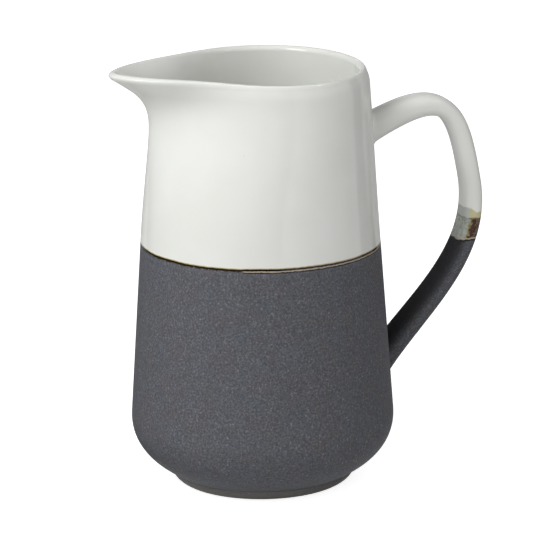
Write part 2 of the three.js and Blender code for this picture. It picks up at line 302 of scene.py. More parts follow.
def grid_faces(rows, columns, loop):
    """Quads between neighbouring rows. With loop, the last row joins the first."""
    row = np.arange(rows if loop else rows - 1)[:, None]
    column = np.arange(columns)[None, :]
    after = (column + 1) % columns
    above = (row + 1) % rows
    here, there = row * columns, above * columns
    corners = [here + column, here + after, there + after, there + column]
    return np.stack(np.broadcast_arrays(*corners), axis=-1).reshape(-1, 4).tolist()


def coat_mesh(name, outer, inner, outer_normals, inner_normals):
    """Closed skin between two grids of the same shape."""
    rows, columns = outer.shape[:2]
    points = np.concatenate([outer, inner[::-1]]).reshape(-1, 3)
    normals = np.concatenate([outer_normals, -inner_normals[::-1]]).reshape(-1, 3)
    return new_mesh(name, points, normals, grid_faces(2 * rows, columns, True))


def pole_mesh(name, rings, normals):
    """Closed body along a path of rings, with a fan of triangles at each end."""
    rows, columns = rings.shape[:2]
    poles = np.stack([rings[0].mean(axis=0), rings[-1].mean(axis=0)])
    points = np.concatenate([rings.reshape(-1, 3), poles])
    pole_normals = unit(np.stack([normals[0].mean(axis=0), normals[-1].mean(axis=0)]))
    first, last = rows * columns, rows * columns + 1
    column = np.arange(columns)
    after = (column + 1) % columns
    start = np.stack([np.full(columns, first), after, column], axis=-1).tolist()
    top = (rows - 1) * columns
    end = np.stack([top + column, top + after, np.full(columns, last)], axis=-1).tolist()
    return new_mesh(name, points, np.concatenate([normals.reshape(-1, 3), pole_normals]),
                    grid_faces(rows, columns, False) + start + end)


def rows_between(*stretches):
    """Path values over several stretches (start, end, rows), each end shared with the next start."""
    parts = [np.linspace(start, end, rows, endpoint=False) for start, end, rows in stretches]
    return np.append(np.concatenate(parts), stretches[-1][1])[:, None]


def take_place(piece, node):
    """Lets a piece stand for a node of the frame, on the jug's one body."""
    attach(piece, "root")
    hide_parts(node)


# %% [markdown]
# Under every coat lies the fired clay. It shows only where a potter wipes the foot clean so that it doesn't
# stick to the kiln shelf: on the ring that touches the table and in the recess inside it. The body is built
# whole all the same, a hair under the coats, because the part has to be sound without them.

# %% Clay body
WIPED_END = -0.95
COATED_START = -0.7
CLAY_BELLY_END = 0.2
NECK_START = 0.78
INNER_NECK_END = 2.22
INNER_BELLY_START = 2.8

angles = turn_angles()[None, :]
clay_path = rows_between((-3, -2, 10), (-2, -1, 14), (-1, 0, 14), (0, CLAY_BELLY_END, 20),
                         (CLAY_BELLY_END, NECK_START, 16), (NECK_START, 1, 20), (1, 2, 16),
                         (2, INNER_NECK_END, 20), (INNER_NECK_END, INNER_BELLY_START, 16),
                         (INNER_BELLY_START, 3, 12), (3, 4, 24))
clay_normals = jug_normals(clay_path, angles)
under_coat = CLAY_DEPTH * smooth_step(clay_path, WIPED_END, COATED_START)
clay_points = jug_skin(clay_path, angles) - under_coat[..., None] * clay_normals
thrown_body = pole_mesh("thrown_body", clay_points, clay_normals)
take_place(thrown_body, "clay_body")

# %% [markdown]
# The glazes were poured and dipped, so each is an even skin over the clay. The white glaze starts at the
# line, goes up the outside and ends on top of the lip, where the liner glaze takes over and runs down to the
# floor. The charcoal coat starts just above the foot. The oxide line sits between the two.

# %% Coats on the body
LIP_START = 0.93
INNER_LIP_END = 2.07
SLIP_START = -0.62
SLIP_BELLY_END = 0.22


def body_coat(name, path, node):
    """A stretch of the jug's skin, one glaze thick."""
    normals = jug_normals(path, angles)
    surface = jug_skin(path, angles)
    piece = coat_mesh(name, surface, surface - GLAZE * normals, normals, normals)
    take_place(piece, node)
    return piece


white_path = rows_between((line_end, NECK_START, 14), (NECK_START, LIP_START, 26), (LIP_START, 1, 20),
                          (1, LIP_TOP, 14))
white_coat = body_coat("poured_white_glaze", white_path, "white_glaze")
liner_path = rows_between((LIP_TOP, 2, 14), (2, INNER_LIP_END, 20), (INNER_LIP_END, INNER_NECK_END, 26),
                          (INNER_NECK_END, INNER_BELLY_START, 16), (INNER_BELLY_START, 3, 12), (3, 4, 20))
liner_normals = jug_normals(liner_path, angles)
liner_surface = jug_skin(liner_path, angles)
liner_rings = np.concatenate([liner_surface[::-1], liner_surface - GLAZE * liner_normals])
liner_coat = pole_mesh("poured_liner_glaze", liner_rings[::-1],
                       np.concatenate([liner_normals[::-1], -liner_normals])[::-1])
take_place(liner_coat, "liner_glaze")
charcoal_path = rows_between((SLIP_START, 0, 10), (0, SLIP_BELLY_END, 24), (SLIP_BELLY_END, line_start, 14))
charcoal_coat = body_coat("dipped_charcoal_coat", charcoal_path, "charcoal_coat")
line_path = rows_between((line_start, line_end, 6))
line_coat = body_coat("brushed_oxide_line", line_path, "oxide_line")

# %% [markdown]
# The handle was pulled from a lump of clay: a strap, thicker at its roots, that rises from the neck, bends
# over and comes down to the belly. Its centre line is two cubic curves that meet at the knee. Its section is
# a superellipse, flat on the faces and round on the edges.

# %% Sizes and centre line of the strap
STRAP_TOP_HEIGHT = 154.8
STRAP_TOP_RISE = math.radians(27.8)
STRAP_FOOT_HEIGHT = 50.6
STRAP_FOOT_RISE = math.radians(53.3)
KNEE_HEIGHT = 129.1
KNEE_STAND_OFF = 46
KNEE_LEAN = math.radians(9.7)
PULLS = {"top": 0.766, "above_knee": 0.615, "below_knee": 0.396, "foot": 0.318}
STRAP_THICKNESS = 8.6
STRAP_TOP_THICKNESS = 12.3
STRAP_FOOT_THICKNESS = 11
STRAP_WIDTH = 15.2
STRAP_FOOT_WIDTH = 16.1
STRAP_SQUARENESS = 2.7
STRAP_LEAN_LENGTH = 14
BAND_TOP = 114.7
BAND_BOTTOM = 101.7

BACK = np.array(math.pi)
top_root = outside(BACK, np.array(STRAP_TOP_HEIGHT))
foot_root = outside(BACK, np.array(STRAP_FOOT_HEIGHT))
knee = outside(BACK, np.array(KNEE_HEIGHT)) + [KNEE_STAND_OFF, 0, 0]
knee_down = np.array([math.sin(KNEE_LEAN), 0, -math.cos(KNEE_LEAN)])
top_way = np.array([math.cos(STRAP_TOP_RISE), 0, math.sin(STRAP_TOP_RISE)])
foot_way = np.array([math.cos(STRAP_FOOT_RISE), 0, math.sin(STRAP_FOOT_RISE)])
upper_span = np.linalg.norm(knee - top_root)
lower_span = np.linalg.norm(knee - foot_root)
UPPER_CURVE = [top_root, top_root + top_way * upper_span * PULLS["top"],
               knee - knee_down * upper_span * PULLS["above_knee"], knee]
LOWER_CURVE = [knee, knee + knee_down * lower_span * PULLS["below_knee"],
               foot_root + foot_way * lower_span * PULLS["foot"], foot_root]


def cubic_curve(corners, step):
    """Point and direction at a step of a cubic curve, which runs on straight past both ends."""
    held = np.clip(step, 0, 1)[..., None]
    a, b, c, d = corners
    left = 1 - held
    point = left**3 * a + 3 * held * left**2 * b + 3 * held**2 * left * c + held**3 * d
    speed = 3 * (left**2 * (b - a) + 2 * held * left * (c - b) + held**2 * (d - c))
    return point + (step[..., None] - held) * speed, unit(speed)


print("The strap's knee is at", knee.round(1).tolist(), "mm")

# %% [markdown]
# One function again covers the whole strap: the first parameter runs from the upper root (0) over the knee
# (1) to the lower root (2), the second is the angle round its section. Near a root the section leans until it
# lies along the wall, every point slides onto the wall, and the section swells in a small round of slip.

# %% One function for the whole strap
STRAP_COLUMNS = 96
SLIP_LENGTH = 4.3
SLIP_ROUND_TOP = 3.2
SLIP_ROUND_FOOT = 1.2
SLIDE_TURNS = 5
CURVE_STEPS = 4001
LEVEL_SEARCH_START = 0.9
LEVEL_SEARCH_END = 1.7
LEVEL_SEARCH_TURNS = 24


def wall_gap(points):
    """How far points are from the finished wall: their radius less the wall's."""
    x, y, height = points[..., 0] - AXIS_X, points[..., 1], points[..., 2]
    angle = np.arctan2(-y, -x)
    return np.hypot(x, y) - turned_radius(height) - mouth_push(angle, height)


def strap_ring(centre, across, thickness, width, turn, swell):
    """Superellipse |x/a|^n + |y/b|^n = 1 in polar form, grown by a swell, in the plane of across and Y."""
    reach = (np.abs(np.cos(turn)) ** STRAP_SQUARENESS + np.abs(np.sin(turn)) ** STRAP_SQUARENESS)
    reach = reach ** (-1 / STRAP_SQUARENESS)
    outward = (thickness / 2 + swell) * reach * np.cos(turn)
    sideways = -(width / 2 + swell) * reach * np.sin(turn)
    return centre + outward[..., None] * across + sideways[..., None] * np.array([0.0, 1.0, 0.0])


def root_round(distance, radius):
    """Height of a quarter circle that leaves the wall along it and ends on the strap."""
    left = np.clip(radius - distance, 0, radius)
    return radius - np.sqrt(np.maximum(radius**2 - left**2, 0))


def strap_skin(path, turn):
    """Finished surface for path 0 to 2 and angle turn, where turn 0 faces away from the body. Rings square to
    the strap lean towards the wall near a root, and slide along the strap until they lie on the wall."""
    path, turn = np.broadcast_arrays(path, turn)
    is_upper = path <= 1
    upper = is_upper[..., None]
    upper_point, upper_way = cubic_curve(UPPER_CURVE, np.where(is_upper, path, 1))
    lower_point, lower_way = cubic_curve(LOWER_CURVE, np.where(is_upper, 0, path - 1))
    centre = np.where(upper, upper_point, lower_point)
    way = np.where(upper, upper_way, lower_way)
    square = np.stack([-way[..., 2], way[..., 1], way[..., 0]], axis=-1)
    root = np.where(upper, top_root, foot_root)
    away = np.where(upper, way, -way)
    side = np.sign(np.einsum("...i,...i->...", centre - root, away))
    distance = side * np.linalg.norm(centre - root, axis=-1)
    wall_up_top = wall_axes(BACK, np.array(STRAP_TOP_HEIGHT))[1]
    wall_up_foot = wall_axes(BACK, np.array(STRAP_FOOT_HEIGHT))[1]
    wallward = np.where(upper, wall_up_top, -wall_up_foot)
    lean = (1 - smooth_step(distance, 0, STRAP_LEAN_LENGTH))[..., None]
    across = unit(square + (wallward - square) * lean)
    across = across / np.einsum("...i,...i->...", across, square)[..., None]
    top_share = np.clip(1 - 2 * path, 0, 1)
    foot_share = np.clip(path - 1, 0, 1)
    top_thickness = STRAP_THICKNESS + (STRAP_TOP_THICKNESS - STRAP_THICKNESS) * top_share
    foot_thickness = STRAP_THICKNESS + (STRAP_FOOT_THICKNESS - STRAP_THICKNESS) * foot_share
    thickness = np.where(is_upper, top_thickness, foot_thickness)
    width = STRAP_WIDTH + (STRAP_FOOT_WIDTH - STRAP_WIDTH) * foot_share
    swell = np.where(is_upper, root_round(distance, SLIP_ROUND_TOP), root_round(distance, SLIP_ROUND_FOOT))
    points = strap_ring(centre, across, thickness, width, turn, swell)
    at_wall = strap_ring(centre - away * distance[..., None], across, thickness, width, turn, swell)
    slide = np.zeros(path.shape)
    for _ in range(SLIDE_TURNS):
        slide = slide - wall_gap(at_wall + slide[..., None] * way) / way[..., 0]
    return points + slide[..., None] * lean * way


def strap_normals(path, turn):
    """Cross product of a small step round and a small step along the strap."""
    around = strap_skin(path, turn + TURN_STEP) - strap_skin(path, turn - TURN_STEP)
    along = strap_skin(path + PATH_STEP, turn) - strap_skin(path - PATH_STEP, turn)
    return unit(np.cross(around, along))


def curve_step(corners, reached):
    """First of many even steps of a curve at which a test of its points holds."""
    steps = np.linspace(0, 1, CURVE_STEPS)
    points = cubic_curve(corners, steps)[0]
    return float(steps[np.argmax(reached(points))])


def level_path(level):
    """Path value in each column at which the strap's surface comes down to a level, by halving."""
    low, high = np.full(turns.shape, LEVEL_SEARCH_START), np.full(turns.shape, LEVEL_SEARCH_END)
    for _ in range(LEVEL_SEARCH_TURNS):
        middle = (low + high) / 2
        is_above = strap_skin(middle, turns)[..., 2] > level
        low, high = np.where(is_above, middle, low), np.where(is_above, high, middle)
    return (low + high) / 2


turns = np.linspace(0, 2 * math.pi, STRAP_COLUMNS, endpoint=False)[None, :]
BAND_START = level_path(BAND_TOP)
BAND_END = level_path(BAND_BOTTOM)
TOP_SLIP_END = curve_step(UPPER_CURVE, lambda points: np.linalg.norm(points - top_root, axis=1) > SLIP_LENGTH)
FOOT_SLIP_START = 1 + curve_step(LOWER_CURVE,
                                 lambda points: np.linalg.norm(points - foot_root, axis=1) < SLIP_LENGTH)
print("Band from about", BAND_START.mean().round(3), "to", BAND_END.mean().round(3))
print("Slip up to", round(TOP_SLIP_END, 3), "and from", round(FOOT_SLIP_START, 3))

# %% [markdown]
# The strap's clay is one long closed body. At both roots it goes down through the coats to the clay of the
# wall, where the real one is luted on. Its coats are stretches of the same surface: slip and white glaze, the
# oxide band, the charcoal coat, and the slip at the lower root.

# %% Strap and its coats
PLACE_RADIUS = 6.3
RUN_STEPS = 2001
ROOT_CROWDING = 1.6


def strap_run(path):
    """Distance in millimetres along the centre line, counted from the knee."""
    fine = np.linspace(0, 2, RUN_STEPS)
    upper = cubic_curve(UPPER_CURVE, np.clip(fine, 0, 1))[0]
    lower = cubic_curve(LOWER_CURVE, np.clip(fine - 1, 0, 1))[0]
    centre = np.where(fine[:, None] <= 1, upper, lower)
    run = np.append(0, np.cumsum(np.linalg.norm(np.diff(centre, axis=0), axis=1)))
    return np.interp(path, fine, run) - np.interp(1, fine, run)


def keep_place(piece, path):
    """Writes each point's place as an attribute: a circle for the angle round the section, and the run."""
    run, turn = np.broadcast_arrays(strap_run(path), turns)
    place_on_strap = np.stack([PLACE_RADIUS * np.cos(turn), PLACE_RADIUS * np.sin(turn), run], axis=-1)
    both_sides = np.concatenate([place_on_strap, place_on_strap[::-1]])
    attribute = piece.data.attributes.new("strap_place", "FLOAT_VECTOR", "POINT")
    attribute.data.foreach_set("vector", both_sides.astype(np.float32).ravel())


def strap_coat(name, path, node):
    """A stretch of the strap's skin, one glaze thick, that keeps its place along the strap."""
    normals = strap_normals(path, turns)
    surface = strap_skin(path, turns)
    piece = coat_mesh(name, surface, surface - GLAZE * normals, normals, normals)
    keep_place(piece, path)
    take_place(piece, node)
    return piece


def root_rows(start, end, rows):
    """Path values that crowd towards the start."""
    return start + (end - start) * np.linspace(0, 1, rows) ** ROOT_CROWDING


def sloping_rows(start, end, rows):
    """Path values between two ends, each of which may differ from column to column."""
    return start + (end - start) * np.linspace(0, 1, rows)[:, None] * np.ones_like(turns)


strap_path = np.concatenate([root_rows(0, TOP_SLIP_END, 12)[:-1],
                             np.linspace(TOP_SLIP_END, FOOT_SLIP_START, 120),
                             root_rows(2, FOOT_SLIP_START, 12)[::-1][1:]])[:, None]
clay_strap_normals = strap_normals(strap_path, turns)
clay_strap_points = strap_skin(strap_path, turns) - CLAY_DEPTH * clay_strap_normals
pulled_strap = pole_mesh("pulled_strap", clay_strap_points, clay_strap_normals)
take_place(pulled_strap, "clay_handle")
top_rows = root_rows(0, TOP_SLIP_END, 14)[:, None]
top_slip = strap_coat("slip_round_top", top_rows, "upper_joint_slip")
white_rows = sloping_rows(TOP_SLIP_END, BAND_START, 90)
strap_white = strap_coat("strap_white_glaze", white_rows, "handle_white_glaze")
band_rows = sloping_rows(BAND_START, BAND_END, 16)
strap_oxide = strap_coat("strap_oxide_band", band_rows, "handle_oxide_band")
charcoal_rows = sloping_rows(BAND_END, FOOT_SLIP_START, 40)
strap_charcoal = strap_coat("strap_charcoal_coat", charcoal_rows, "handle_charcoal_coat")
foot_rows = root_rows(2, FOOT_SLIP_START, 14)[::-1][:, None]
foot_slip = strap_coat("slip_round_foot", foot_rows, "lower_joint_slip")

# %% [markdown]
# Colours are written as a painter mixes them, in sRGB hex, and one function turns them to the linear values
# that the renderer adds light in. One small helper adds a node with its settings and links. Its inputs come
# in the order of the node's sockets, so a recipe reads as a list. The size of a pattern is given in
# millimetres, since a noise of scale 1 has features about a metre wide. A noise also has a detail and a
# roughness, and a few pairs of them, from smooth to coarse, do for the whole jug.

# %% Node helper and colours
EASED = {"interpolation_type": "SMOOTHSTEP"}
SMOOTH = (1.0, 0.5)
CLOUDY = (2.0, 0.5)
JAGGED = (2.0, 0.6)
BLOTCHY = (3.0, 0.6)
GRAINY = (3.0, 0.65)
GRITTY = (3.0, 0.7)
COARSE = (4.0, 0.7)


def linear(hex_colour):
    """sRGB hex, with or without an alpha pair, to linear red, green, blue and alpha."""
    values = [int(hex_colour[i:i + 2], 16) / 255 for i in range(1, len(hex_colour), 2)]
    light = [v / 12.92 if v <= 0.04045 else ((v + 0.055) / 1.055) ** 2.4 for v in values[:3]]
    return (*light, values[3] if len(values) > 3 else 1.0)


def per_metre(size_mm):
    """Scale of a texture with features of a size in millimetres, where the place is in metres."""
    return 1 / (size_mm * MM)


def add_node(tree, kind, inputs=(), stops=(), **settings):
    """Adds a node with its properties and ramp stops. Inputs are a list in the order of the sockets in use,
    or a dictionary by name. A node among them is linked by its first output in use."""
    node = tree.nodes.new("ShaderNode" + kind)
    for key, value in settings.items():
        setattr(node, key, value)
    if not isinstance(inputs, dict):
        in_use = [index for index, socket in enumerate(node.inputs) if socket.enabled]
        inputs = dict(zip(in_use, inputs))
    for key, value in inputs.items():
        if isinstance(value, bpy.types.Node):
            value = next(socket for socket in value.outputs if socket.enabled)
        if isinstance(value, bpy.types.NodeSocket):
            tree.links.new(value, node.inputs[key])
        else:
            node.inputs[key].default_value = value
    for index, (position, colour) in enumerate(stops):
        points = node.color_ramp.elements
        point = points[index] if index < 2 else points.new(position)
        point.position = position
        point.color = linear(colour)
    return node


def start_material(name):
    """A new material without nodes, and the helper that adds nodes to it."""
    material = bpy.data.materials.new(name)
    material.use_nodes = True
    material.node_tree.nodes.clear()
    return material, partial(add_node, material.node_tree)


def finish_coat(add, colour, height, roughness, shine, ior):
    """Turns a height in millimetres into bump, and ends the material with its shader and output."""
    bump = add("Bump", {"Height": height, "Distance": MM, "Strength": 1.0})
    shader = add("BsdfPrincipled", {"Base Color": colour, "Roughness": roughness, "IOR": ior,
                                    "Specular IOR Level": shine, "Normal": bump})
    add("OutputMaterial", [shader])


print("Mid grey #808080 is", round(linear("#808080")[0], 3), "in linear light")

# %% [markdown]
# The white is a glossy stoneware glaze, poured on. It is nearly even, a little greener where it lies thick.
# Its surface is a melted one: it waves very slightly over a centimetre, so that reflections wobble, and a few
# tiny specks of iron from the clay come up through it. Each recipe gives a colour and a height in
# millimetres, and names its sizes and heights in millimetres too.

# %% Recipe of the white glaze
CLOUD_SIZE = 28
SPECK_SPACING = 17
SPECK_CHANCE = 0.55
SPECK_REACH = 0.028  # share of the spacing
SPECK_EDGE = (0.6, 1.4)
SPECK_STRENGTH = 0.45
SMALLEST_REACH = 0.0001
WAVE_SIZE = 14
WAVE_HEIGHT = 0.045
RIPPLE_SIZE = 2.2
RIPPLE_HEIGHT = 0.0012


def white_recipe(add, place):
    """Two near whites in clouds with a rare soft speck, over a slow wave plus a fine ripple."""
    cloud = add("TexNoise", [place, per_metre(CLOUD_SIZE), *CLOUDY])
    white = add("ValToRGB", [cloud], [(0.35, "#e8e9e4"), (0.65, "#ecede9")])
    speck = add("TexVoronoi", [place, per_metre(SPECK_SPACING)])
    chance = add("SeparateColor", [speck.outputs["Color"]])
    reach = add("MapRange", [chance, SPECK_CHANCE, 1.0, 0.0, SPECK_REACH], **EASED)
    reach = add("Math", [reach, SMALLEST_REACH], operation="MAXIMUM")
    ratio = add("Math", [speck.outputs["Distance"], reach], operation="DIVIDE")
    dot = add("MapRange", [ratio, *SPECK_EDGE, SPECK_STRENGTH, 0.0], **EASED)
    colour = add("Mix", [dot, white, linear("#9a978c")], data_type="RGBA")
    wave = add("TexNoise", [place, per_metre(WAVE_SIZE), *SMOOTH])
    ripple = add("TexNoise", [place, per_metre(RIPPLE_SIZE), *SMOOTH])
    ripple = add("Math", [ripple, RIPPLE_HEIGHT], operation="MULTIPLY")
    height = add("Math", [wave, WAVE_HEIGHT, ripple], operation="MULTIPLY_ADD")
    return colour, height


print("The white waves over", WAVE_SIZE, "mm and ripples over", RIPPLE_SIZE, "mm")

# %% [markdown]
# The charcoal is a matt slip full of grains. Near by it reads as a fine salt and pepper, about a millimetre
# from speck to speck, over slow clouds of bluish and brownish grey, and it feels like fine sandpaper. Real
# grains are finer than that; they are drawn as coarse as the picture needs to show them.

# %% Recipe of the charcoal coat
GRAIN_SIZE = 0.85
TINT_SIZE = 9
TINT_SHARE = 0.35
GRIT_SIZE = 0.8
GRIT_HEIGHT = 0.11
GRAIN_STOPS = [(0.30, "#424347"), (0.48, "#595a5f"), (0.62, "#6e6f75"), (0.74, "#9fa0a4")]
TINT_STOPS = [(0.30, "#585e67"), (0.50, "#5a5b60"), (0.70, "#605a5c")]


def charcoal_recipe(add, place):
    """A ramp of greys over fine grains, tinted in clouds, and a grit of its own for the height."""
    grain = add("TexNoise", [place, per_metre(GRAIN_SIZE), *GRAINY])
    greys = add("ValToRGB", [grain], GRAIN_STOPS)
    cloud = add("TexNoise", [place, per_metre(TINT_SIZE), *CLOUDY])
    tint = add("ValToRGB", [cloud], TINT_STOPS)
    colour = add("Mix", [TINT_SHARE, greys, tint], data_type="RGBA")
    grit = add("TexNoise", [place, per_metre(GRIT_SIZE), *GRITTY])
    height = add("Math", [grit, GRIT_HEIGHT], operation="MULTIPLY")
    return colour, height


print("The slip has grains of", GRAIN_SIZE, "mm and grit of", GRIT_SIZE, "mm")

# %% [markdown]
# Where the glazes meet, iron from a brushed line bleeds into both. From the top down it goes from cream
# through olive to black-brown, then a pale thread where the glazes have parted, and a dark edge on the
# charcoal. The thread is broken, and missing towards the spout. All three coats share this recipe, so the
# line may wander over their borders: it depends only on the depth under the line's upper edge.

# %% Recipe of the glaze line
LINE_ZONE = 4.0
LINE_LEAD = 0.9
LINE_RISE = 0.27
LINE_TILT = 8.5  # millimetres for each metre towards the spout
SWAY_SIZE = 24
SWAY = 0.5
QUIVER_SIZE = 2.4
QUIVER = 0.3
TOOTH_SIZE = 1.0
TEETH = (-0.36, 0.17)  # factor and offset of the noise, as shares of the zone
TEETH_SPAN = (0.3, 0.8)
THREAD_TEETH = (-0.2, 0.1)
THREAD_TEETH_SPAN = (0.6, 1.2)
THREAD_SPAN = (-0.033, -0.029)  # metres along X
THREAD_WANDER_SIZE = 11
THREAD_WANDER = 0.02
# Depth in millimetres and colour with alpha, from the glaze down to the slip.
BROKEN_STOPS = [(-0.35, "#e9e3d400"), (-0.1, "#d6cba9ff"), (0.15, "#a39768ff"), (0.38, "#2c2410ff"),
                (0.95, "#1a140bff"), (1.2, "#39342fff"), (1.5, "#55565b00")]
THREADED_STOPS = [(-0.5, "#e9e3d400"), (-0.2, "#d6c7a8ff"), (0.1, "#85744cff"), (0.3, "#0e0501ff"),
                  (0.85, "#0c0401ff"), (1.05, "#a39686ff"), (1.4, "#aea294ff"), (1.6, "#1d1816ff"),
                  (1.95, "#2b2729ff"), (2.3, "#55565b00")]


def line_stops(stops_mm):
    """Ramp positions: the share of the line's zone at which each depth lies."""
    return [((depth + LINE_LEAD) / LINE_ZONE, colour) for depth, colour in stops_mm]


def depth_below_line(add, place):
    """Millimetres under the line's upper edge: its tilted level less the point's, plus two small noises."""
    split = add("SeparateXYZ", [place]).outputs
    sway = add("TexNoise", [place, per_metre(SWAY_SIZE), *SMOOTH])
    sway = add("Math", [sway, SWAY, -SWAY / 2], operation="MULTIPLY_ADD")
    quiver = add("TexNoise", [place, per_metre(QUIVER_SIZE), *CLOUDY])
    quiver = add("Math", [quiver, QUIVER, -QUIVER / 2], operation="MULTIPLY_ADD")
    edge = add("Math", [split["X"], -LINE_TILT, LINE_TOP + LINE_RISE], operation="MULTIPLY_ADD")
    depth = add("Math", [split["Z"], -1 / MM, edge], operation="MULTIPLY_ADD")
    wander = add("Math", [sway, quiver], operation="ADD")
    return add("Math", [depth, wander], operation="ADD")


def line_recipe(add, place, depth):
    """Colour over the line's zone, with an alpha that is 0 where the plain coats show."""
    share = add("MapRange", [depth, -LINE_LEAD, LINE_ZONE - LINE_LEAD])
    jagged = add("TexNoise", [place, per_metre(TOOTH_SIZE), *JAGGED])
    teeth = add("Math", [jagged, *TEETH], operation="MULTIPLY_ADD")
    is_dark = add("MapRange", [depth, *TEETH_SPAN], **EASED)
    torn = add("Math", [is_dark, teeth, share], operation="MULTIPLY_ADD")
    broken = add("ValToRGB", [torn], line_stops(BROKEN_STOPS))
    small_teeth = add("Math", [jagged, *THREAD_TEETH], operation="MULTIPLY_ADD")
    is_thread = add("MapRange", [depth, *THREAD_TEETH_SPAN], **EASED)
    uneven = add("Math", [is_thread, small_teeth, share], operation="MULTIPLY_ADD")
    threaded = add("ValToRGB", [uneven], line_stops(THREADED_STOPS))
    side = add("SeparateXYZ", [place]).outputs["X"]
    wander = add("TexNoise", [place, per_metre(THREAD_WANDER_SIZE), *CLOUDY])
    side = add("Math", [wander, THREAD_WANDER, side], operation="MULTIPLY_ADD")
    mask = add("MapRange", [side, *THREAD_SPAN], **EASED)
    colour = add("Mix", [mask, broken, threaded], data_type="RGBA")
    alpha = add("Mix", [mask, broken.outputs["Alpha"], threaded.outputs["Alpha"]])
    return colour, alpha


print("The line's colours lie between", BROKEN_STOPS[0][0], "and", THREADED_STOPS[-1][0], "mm under its edge")

# %% [markdown]
# Now the finishes of the body are put together. The white and the charcoal change over within the line, and
# so do gloss and grain. The gloss is the coat's own roughness: near nothing on the glaze, high on the slip.
# Near the foot the slip is browner, where it ran thin, and paler with painted light that stands for the light
# thrown up from the floor. The bare clay is buff grey and gritty, with dark grains of iron.

# %% Finishes of the body
WHITE_GLOSS = 0.035
CHARCOAL_ROUGHNESS = 0.72
CLAY_ROUGHNESS = 0.88
GLAZE_SHINE = 0.5
OXIDE_SHINE = 0.38
SLIP_SHINE = 0.12
CLAY_SHINE = 0.25
GLAZE_IOR = 1.52
CLAY_IOR = 1.5
SLIP_SPAN = (0.9, 1.3)  # millimetres below the line's upper edge, as the next one
DULL_SPAN = (0.3, 1.6)
THIN_SLIP_AND_LIT_FOOT_SPAN = (0.001, 0.010)  # metres above the table
THIN_SLIP_AND_LIT_FOOT_SHARE = 0.75
CLAY_GRIT_SIZE = 1.1
CLAY_GRIT_HEIGHT = 0.12
CLAY_STOPS = [(0.28, "#5f5548"), (0.42, "#8b8071"), (0.6, "#9b9081"), (0.8, "#b3a998")]


def glazed_finish(name, has_line, shine):
    """White glaze alone, or white glaze, line and charcoal one under another."""
    material, add = start_material(name)
    place = add("TexCoord").outputs["Object"]
    colour, height = white_recipe(add, place)
    roughness = WHITE_GLOSS
    if has_line:
        depth = depth_below_line(add, place)
        is_slip = add("MapRange", [depth, *SLIP_SPAN], **EASED)
        slip, slip_height = charcoal_recipe(add, place)
        level = add("SeparateXYZ", [place]).outputs["Z"]
        # Near the foot: browner for the thin slip, and paler as painted light from the floor below.
        thin = add("MapRange", [level, *THIN_SLIP_AND_LIT_FOOT_SPAN, THIN_SLIP_AND_LIT_FOOT_SHARE, 0.0], **EASED)
        slip = add("Mix", [thin, slip, linear("#7d7975")], data_type="RGBA")
        line, line_alpha = line_recipe(add, place, depth)
        colour = add("Mix", [is_slip, colour, slip], data_type="RGBA")
        colour = add("Mix", [line_alpha, colour, line], data_type="RGBA")
        height = add("Mix", [is_slip, height, slip_height])
        roughness = add("MapRange", [depth, *DULL_SPAN, WHITE_GLOSS, CHARCOAL_ROUGHNESS], **EASED)
    finish_coat(add, colour, height, roughness, shine, GLAZE_IOR)
    return material


def clay_finish(name):
    """A ramp from iron brown to buff over one gritty noise, which is the height too."""
    material, add = start_material(name)
    place = add("TexCoord").outputs["Object"]
    grit = add("TexNoise", [place, per_metre(CLAY_GRIT_SIZE), *COARSE])
    colour = add("ValToRGB", [grit], CLAY_STOPS)
    height = add("Math", [grit, CLAY_GRIT_HEIGHT], operation="MULTIPLY")
    finish_coat(add, colour, height, CLAY_ROUGHNESS, CLAY_SHINE, CLAY_IOR)
    return material


white_coat.data.materials.append(glazed_finish("white_stoneware_glaze", True, GLAZE_SHINE))
line_coat.data.materials.append(glazed_finish("iron_oxide_line", True, OXIDE_SHINE))
charcoal_coat.data.materials.append(glazed_finish("matt_charcoal_slip", True, SLIP_SHINE))
liner_coat.data.materials.append(glazed_finish("white_liner_glaze", False, GLAZE_SHINE))
bare_clay = clay_finish("bare_fired_stoneware")
thrown_body.data.materials.append(bare_clay)
pulled_strap.data.materials.append(bare_clay)
print("Finishes of the body:", [material.name for material in bpy.data.materials])

# %% [markdown]
# On the strap the same glazes meet in a ragged band. The maker wiped iron over it, and it ran: rust brown in
# streaks on the face that looks away from the body, hardly any on the grip side, where thin white glaze over
# the dark slip turned grey-green. The pattern follows the strap, so it reads the place that was kept on each
# point: two numbers for the angle round the section and one for the run along the centre line. Its upper and
# lower ends are level, because the jug was dipped upright.

# %% Recipe of the band
RUST_START = 112.2
STREAK_SIZE = 1.5
STREAK_STRETCH = 0.3
BLOT_SIZE = 3.2
FRINGE_SIZE = 1.3
RUST_WANDER = 4.0
OCHRE_SPAN = (0.9, 1.9)  # the rust's reach in millimetres, as the next two
RUST_SPAN = (1.9, 2.9)
MOTTLED_SPAN = (4.6, 5.6)
MOTTLED_STOPS = [(0.38, "#2b1203"), (0.48, "#4a2e18"), (0.56, "#7c6653"), (0.66, "#55402f")]
DARK_STOPS = [(0.35, "#2a0f02"), (0.6, "#4b2508")]
THIN_STOPS = [(0.38, "#8f948c"), (0.5, "#a6aaa2"), (0.62, "#bcc0b8")]
FRINGE_SHARE = 0.6
BELOW_SPAN = (-0.3, 0.5)  # millimetres from the thread's middle, as the next one
STRAND_SPAN = (-0.6, 0.9)
DOT_SPAN = (0.44, 0.56)
DOT_SHARES = (0.1, 0.85)
THREAD_STOPS = [(0.0, "#6f6b4a00"), (0.4, "#6f6b4aff"), (0.6, "#6f6b4aff"), (1.0, "#6f6b4a00")]


